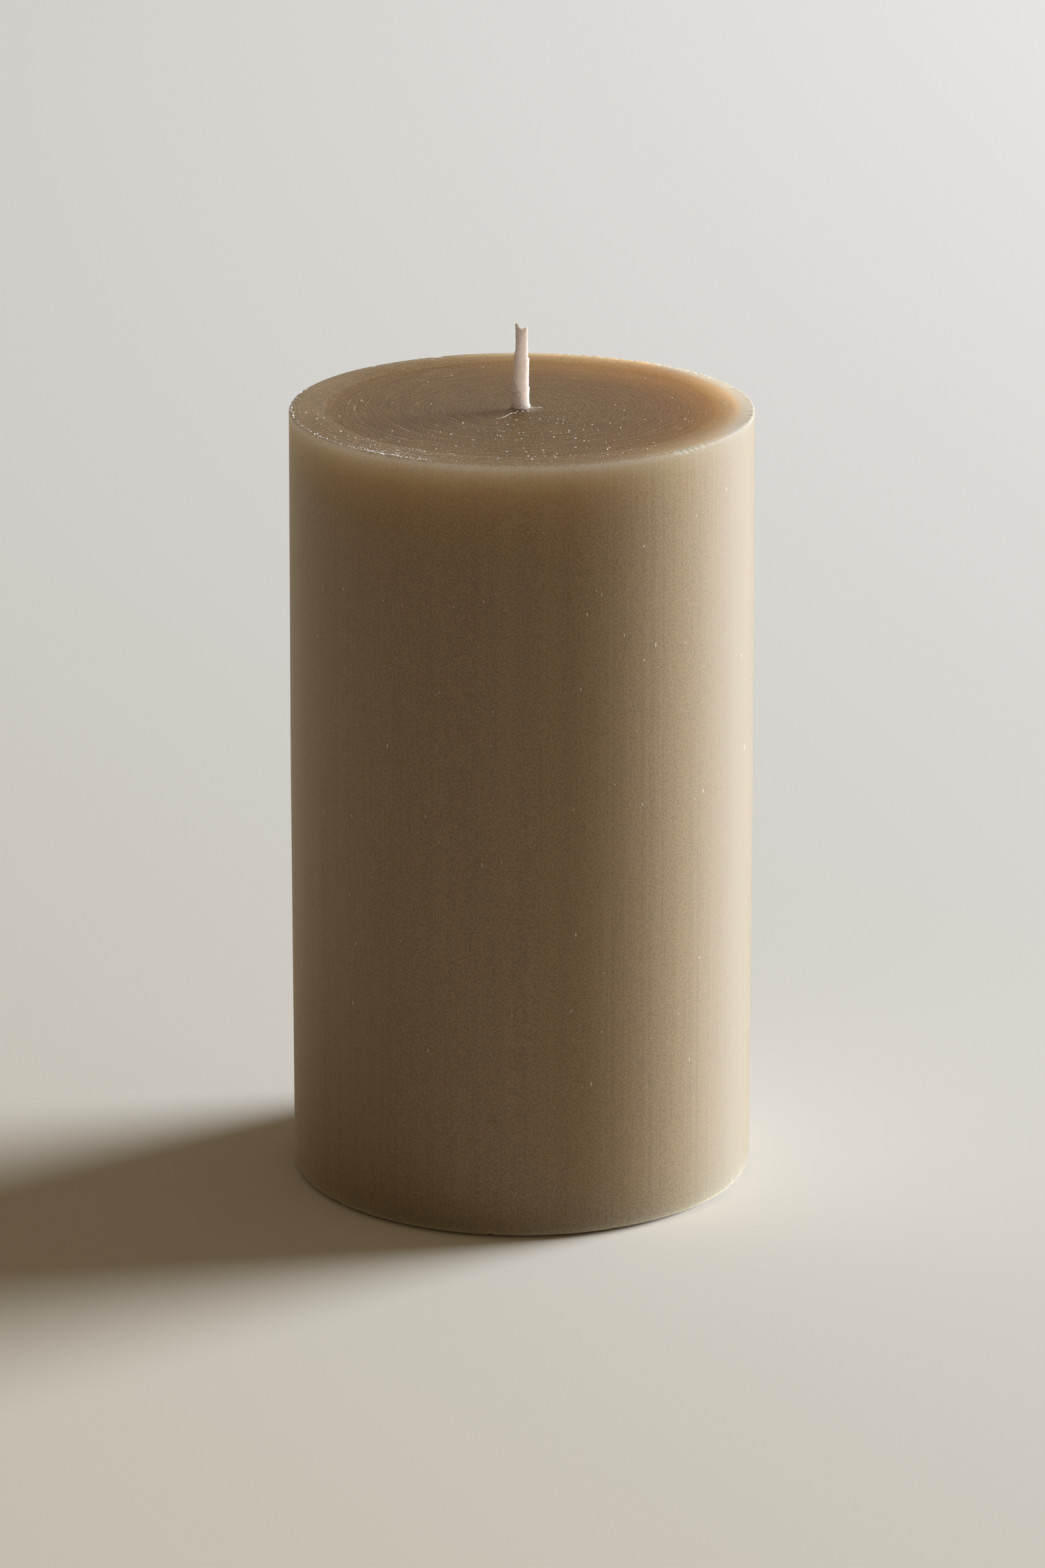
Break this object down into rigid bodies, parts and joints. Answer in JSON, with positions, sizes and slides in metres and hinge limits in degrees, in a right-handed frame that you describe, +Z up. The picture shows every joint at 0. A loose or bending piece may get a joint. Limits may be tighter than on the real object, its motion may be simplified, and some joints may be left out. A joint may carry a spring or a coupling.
{
  "type": "pillar candle",
  "caption": "Round pillar candle of drawn wax with a turned top and shallow rim, a snipped braided wick and a sheet-metal wick sustainer set in its foot.",
  "frame": {"origin": "middle of the foot, on the surface that the candle stands on", "axes": "+Z up along the wick, -Y towards the front, +X to the right as seen from the front"},
  "size_m": [0.07, 0.07, 0.1327],
  "materials": {
    "wax": "satin taupe wax with fine draw lines, slightly translucent",
    "wick_cotton": "braided cotton, primed with wax",
    "tinplate": "bright tinned sheet, pressed"
  },
  "bodies": {
    "root": {"wax_body": "wax", "wick": "wick_cotton", "wick_sustainer": "tinplate"}
  },
  "joints": []
}
